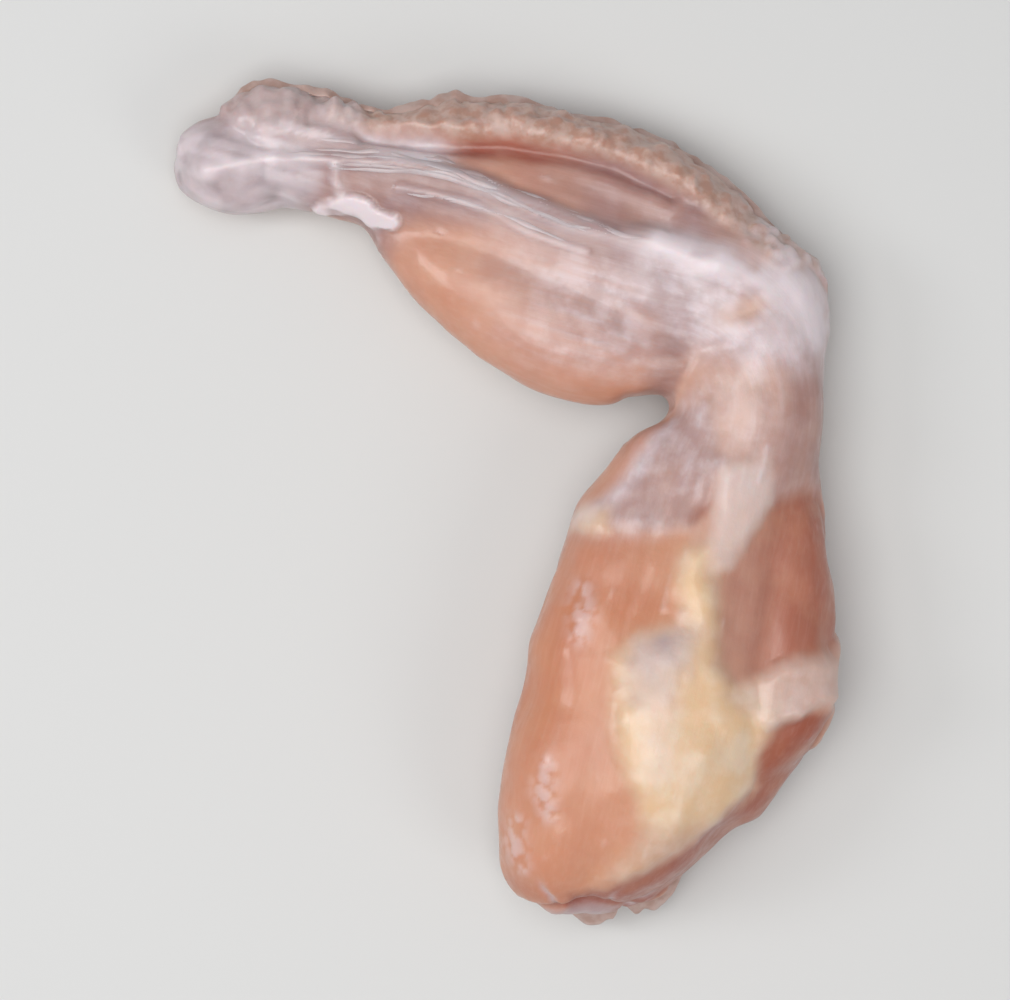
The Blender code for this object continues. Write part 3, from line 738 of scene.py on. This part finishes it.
def drawn_out(tree, scale, detail, roughness):
    """A noise along the wing's own lie, drawn out along the fibres by its scale along, across and up."""
    lay_socket = add_node(tree, "ShaderNodeAttribute", {"attribute_name": "lay"}).outputs["Vector"]
    stretched = add_node(tree, "ShaderNodeMapping", Vector=lay_socket, Scale=scale).outputs["Vector"]
    return add_node(tree, "ShaderNodeTexNoise", Vector=stretched, Scale=1.0, Detail=detail,
                    Roughness=roughness).outputs["Fac"]


meat_finish, tree, shader, object_socket = new_finish("raw_meat")
fibres = drawn_out(tree, (0.09, 1.3, 1.3), 4.0, 0.6)
bands = drawn_out(tree, (0.05, 0.35, 0.35), 3.0, 0.5)
flesh, _, blotches = mottled(tree, object_socket, 170.0, *FLESH)
flesh = blended(tree, mask(tree, "orange"), flesh, ORANGE_FLESH)
flesh = blended(tree, mask(tree, "red"), flesh, RED_FLESH)
# The painted shade over the flesh.
flesh = blended(tree, mask(tree, "shade_and_dark_veil"), flesh, SHADE_AND_DARK_VEIL_TONE)
flesh = blended(tree, ranged(tree, fibres, 0.4, 0.75, 0.0, 0.08), flesh, PALE_FIBRES)
flesh = blended(tree, ranged(tree, bands, 0.45, 0.75, 0.0, 0.15), flesh, DARK_BUNDLES)
flesh = blended(tree, ranged(tree, blotches, 0.4, 0.7, 0.0, 0.14), flesh, WARM_BLOTCHES)
veil = worked(tree, "MULTIPLY", mask(tree, "fascia"), ranged(tree, fibres, 0.3, 0.7, 0.75, 1.0))
sheath, _, _ = mottled(tree, object_socket, 280.0, *SHEATH)
flesh = blended(tree, veil, flesh, sheath)
fat_colour, _, _ = mottled(tree, object_socket, 210.0, *CREAM_FAT)
flesh = blended(tree, mask(tree, "fat"), flesh, fat_colour)
skin_trim, juice, mottle = mottled(tree, object_socket, 600.0, *SKIN_TRIM)
flesh = blended(tree, mask(tree, "trim"), flesh, skin_trim)
bone, _, _ = mottled(tree, object_socket, 300.0, *CARTILAGE)
flesh = blended(tree, mask(tree, "cartilage"), flesh, bone)
flesh = blended(tree, mask(tree, "tendon"), flesh, WHITE_TENDON)
flesh = blended(tree, mask(tree, "gristle"), flesh, AMBER_GRISTLE)
tree.links.new(flesh, shader.inputs["Base Color"])

height = worked(tree, "MULTIPLY_ADD", fibres, 0.3, worked(tree, "MULTIPLY", mottle, 0.6))
bump = add_node(tree, "ShaderNodeBump", Height=height, Strength=0.6, Distance=0.0002)
tree.links.new(bump.outputs["Normal"], shader.inputs["Normal"])
tree.links.new(juice, shader.inputs["Roughness"])
let_light_in(shader, 0.35, (1.0, 0.35, 0.22), 0.0022)
film_of_juice(shader)
shader.inputs["IOR"].default_value = 1.4
meat_data.materials.clear()
meat_data.materials.append(meat_finish)
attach(meat, "root")
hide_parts("wing")


# The torn membrane: what is left of the sleeve between skin and meat, ragged sheets that hang on along the
# rim, at the wrist and under the cut shoulder end.

MEMBRANE = (0.43, 0.265, 0.215, 1), (0.54, 0.385, 0.34, 1)
SHEET_COLUMNS = 260
SHEET_ROWS = 8
SHEET_WALL = 0.36
SHEET_ROOT = 0.8
SLICE = 1.5
BESIDE = 0.8
NO_SKIN = -6.0
EVENING = 12


def outer_edge(line, ways, height):
    """A line in plan moved out to the side of the meat. Each place goes along its way to the outermost of
    the skin's points beside it at about that height, less the root, and the moves are evened out along the
    line."""
    near = np.abs(points[:, 2] - height) < SLICE
    near &= (np.abs(points[:, :2] - line.mean(axis=0)) < np.ptp(line, axis=0) / 2 - NO_SKIN).all(axis=1)
    offset = points[near, :2] - line[:, None]
    along = (offset * ways[:, None]).sum(axis=-1)
    beside = np.abs(offset[..., 0] * ways[:, None, 1] - offset[..., 1] * ways[:, None, 0]) < BESIDE
    moves = np.where(beside, along, NO_SKIN).max(axis=1) - SHEET_ROOT
    window = np.ones(2 * EVENING + 1) / (2 * EVENING + 1)
    moves = np.convolve(np.pad(moves, EVENING, "edge"), window, "valid")
    return np.column_stack([line + ways * moves[:, None], np.full(len(line), height)])


def torn_sheet(edge, outward, height, length, fall, seed):
    """A grid that leaves the side of the meat outwards. Its free side lies at the length times a ragged
    share, the sum of two noises, and it falls by a slope that grows with the way out, with wrinkles
    across."""
    share = np.linspace(0, 1, SHEET_COLUMNS)
    out = through(outward, share)
    out /= np.linalg.norm(out, axis=1)[:, None]
    base = outer_edge(through(edge, share), out, height)
    run = np.concatenate([[0], np.cumsum(np.linalg.norm(np.diff(base, axis=0), axis=1))])
    line = np.column_stack([run, run * 0, run * 0])
    ragged = 0.68 * murmur(line, 3.0, seed) + 0.32 * murmur(line, 1.2, seed + 1)
    closing = np.sqrt(np.minimum(1, 8 * np.minimum(share, 1 - share)))
    reach = through(length, share) * (0.3 + 0.8 * ragged) * closing
    way = np.linspace(0, 1, SHEET_ROWS)
    grid = base[:, None] + np.column_stack([out, 0 * share])[:, None] * (reach[:, None] * way)[..., None]
    grid[..., 2] -= fall * reach[:, None] * way * (0.4 + 0.6 * way)
    down_run = run[:, None] + 0 * way
    spots = np.stack([down_run, 0.7 * reach[:, None] * way, 0 * down_run], axis=-1)
    wrinkle = murmur(spots.reshape(-1, 3), 1.3, seed + 2).reshape(SHEET_COLUMNS, SHEET_ROWS)
    grid[..., 2] += 0.9 * (wrinkle - 0.5) * way
    return grid


def grid_faces(columns, rows):
    """The quads between neighbouring columns and rows of a grid."""
    corner = np.arange(columns * rows).reshape(columns, rows)
    quads = np.stack([corner[:-1, :-1], corner[1:, :-1], corner[1:, 1:], corner[:-1, 1:]], axis=-1)
    return quads.reshape(-1, 4)


# Each sheet: its root line in plan, the ways out along it, its height, its lengths, its fall and its seed.
SHEETS = [
    ([(-22, 53), (-12, 54), (-4, 54.4), (2, 53.6), (12, 51), (22, 47), (31, 40.8), (38, 34.2)],
     [(0, 1), (0.1, 1), (0.4, 1), (0.8, 0.8)], 10.0, [1.8, 2.2, 1.7, 1.8, 1.7], 0.9, 20),
    ([(-36, 52), (-32, 55), (-26, 55.6), (-20, 53)], [(-0.6, 1), (0.2, 1)], 9.0, [1.6, 2.2, 1.7], 0.8, 24),
    ([(8.0, -53.4), (11.4, -54.0), (15.0, -53.6)], [(0, -1), (0.2, -1)], 6.5, [2.6, 3.2, 2.6], 0.8, 32),
    ([(16.0, -52.8), (19.6, -51.6), (24.0, -49.6)], [(0.2, -1), (0.4, -1)], 6.5, [3.0, 3.8, 3.0], 0.8, 36),
]
sheet_grids = [torn_sheet(*sheet) for sheet in SHEETS]
torn_data = mesh_of_grids("torn_membrane", sheet_grids, grid_faces(SHEET_COLUMNS, SHEET_ROWS))
torn_data.shade_smooth()
torn = placed("torn_membrane", torn_data)
wall = torn.modifiers.new("wall", "SOLIDIFY")
wall.thickness = SHEET_WALL * MM
wall.offset = 0.0
finer = torn.modifiers.new("finer", "SUBSURF")
finer.levels = finer.render_levels = 1

torn_finish, tree, shader, object_socket = new_finish("torn_membrane")
membrane, juice, mottle = mottled(tree, object_socket, 420.0, *MEMBRANE)
tree.links.new(membrane, shader.inputs["Base Color"])
tree.links.new(juice, shader.inputs["Roughness"])
bump = add_node(tree, "ShaderNodeBump", Height=mottle, Strength=0.5, Distance=0.0002)
tree.links.new(bump.outputs["Normal"], shader.inputs["Normal"])
let_light_in(shader, 0.2, (1.0, 0.5, 0.4), 0.0008)
film_of_juice(shader)
torn_data.materials.append(torn_finish)
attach(torn, "root")
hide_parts("wing")


# The threads: flat strings of the tendons, as thick as sewing cotton, which run over the meat from the
# wrist down the flat. They grow out of the fascia, so each is pressed half into it and leans as it does.

THREAD_PATHS = [
    [(-34, 46.6), (-22, 46.6), (-10, 45.0), (2, 40.6), (14, 36.4), (24, 33.6)],
    [(-32, 45.2), (-20, 45.2), (-8, 43.6), (4, 38.6), (16, 34.6)],
    [(-26, 48.6), (-18, 48.0), (-10, 46.4), (-4, 44.2)],
    [(-14, 41.6), (-4, 39.4), (4, 36.4), (10, 33.8)],
    [(-30, 47.6), (-18, 47.2), (-8, 44.9), (3, 41.2), (12, 37.8)],
    [(-26, 44.4), (-14, 44.2), (-2, 41.4), (6, 37.6), (14, 34.8)],
]
THREAD_COLOURS = (0.56, 0.42, 0.42, 1), (0.63, 0.51, 0.515, 1)
THREAD_HALF_WIDTH = 0.34
THREAD_HALF_HEIGHT = 0.12
THREAD_SUNK = 0.6
THREAD_WANDER = 0.9
THREAD_POINTS = 160
THREAD_SIDES = 8
SKIN_REACH = 0.4

finished_normals = np.empty((len(points), 3), np.float32)
meat_data.vertex_normals.foreach_get("vector", finished_normals.ravel())


def skin_height(path):
    """The skin's height under each place of a path: the mean, weighed by exp(-(d/w)²) of their distance in
    plan, of the heights that the tangent planes of the nearby points of the skin have there."""
    near = finished_normals[:, 2] > 0.3
    near &= (np.abs(points[:, :2] - path.mean(axis=0)) < np.ptp(path, axis=0) / 2 + 2).all(axis=1)
    spots, tilts = points[near], finished_normals[near]
    offset = path[:, None] - spots[:, :2]
    weight = np.exp(-(offset**2).sum(axis=-1) / SKIN_REACH**2)
    plane = spots[:, 2] - (offset * tilts[:, :2]).sum(axis=-1) / tilts[:, 2]
    return (weight * plane).sum(axis=1) / weight.sum(axis=1)


thread_grids = []
for number, path in enumerate(THREAD_PATHS):
    share = np.linspace(0, 1, THREAD_POINTS)
    line = through(path, share)
    noise_at = np.column_stack([line, np.full(len(line), 10.0 * number)])
    line += THREAD_WANDER * np.column_stack([murmur(noise_at, 4.0, seed) - 0.5 for seed in (40, 41)])
    across = np.gradient(line, axis=0) @ [[0, -1], [1, 0]]
    across *= THREAD_HALF_WIDTH / np.linalg.norm(across, axis=1)[:, None]
    low, high = skin_height(line - across), skin_height(line + across)
    sideways = np.column_stack([across, (high - low) / 2])
    on_skin = np.column_stack([line, (high + low) / 2])
    upright = np.cross(sideways, np.gradient(on_skin, axis=0))
    upright *= THREAD_HALF_HEIGHT / np.linalg.norm(upright, axis=1)[:, None]
    centre = on_skin - upright * THREAD_SUNK
    closing = np.sqrt(np.maximum(0, 1 - np.abs(2 * share - 1) ** 3)) * (0.5 + 0.9 * murmur(noise_at, 3.0, 42))
    turn = np.linspace(0, 2 * np.pi, THREAD_SIDES, endpoint=False)
    ring = sideways[:, None] * np.cos(turn)[:, None] + upright[:, None] * np.sin(turn)[:, None]
    thread_grids.append(centre[:, None] + ring * closing[:, None, None])
thread_data = mesh_of_grids("tendon_threads", thread_grids, tube_faces(THREAD_POINTS, THREAD_SIDES))
welded = bmesh.new()
welded.from_mesh(thread_data)
bmesh.ops.remove_doubles(welded, verts=welded.verts, dist=1e-7)
bmesh.ops.recalc_face_normals(welded, faces=welded.faces)
welded.to_mesh(thread_data)
welded.free()
thread_data.shade_smooth()
threads_piece = placed("tendon_threads", thread_data)
thread_finish, tree, shader, object_socket = new_finish("tendon_threads")
thread_colour, juice, _ = mottled(tree, object_socket, 300.0, *THREAD_COLOURS)
tree.links.new(thread_colour, shader.inputs["Base Color"])
tree.links.new(juice, shader.inputs["Roughness"])
let_light_in(shader, 0.3, (1.0, 0.5, 0.4), 0.001)
thread_data.materials.append(thread_finish)
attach(threads_piece, "root")
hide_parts("wing")
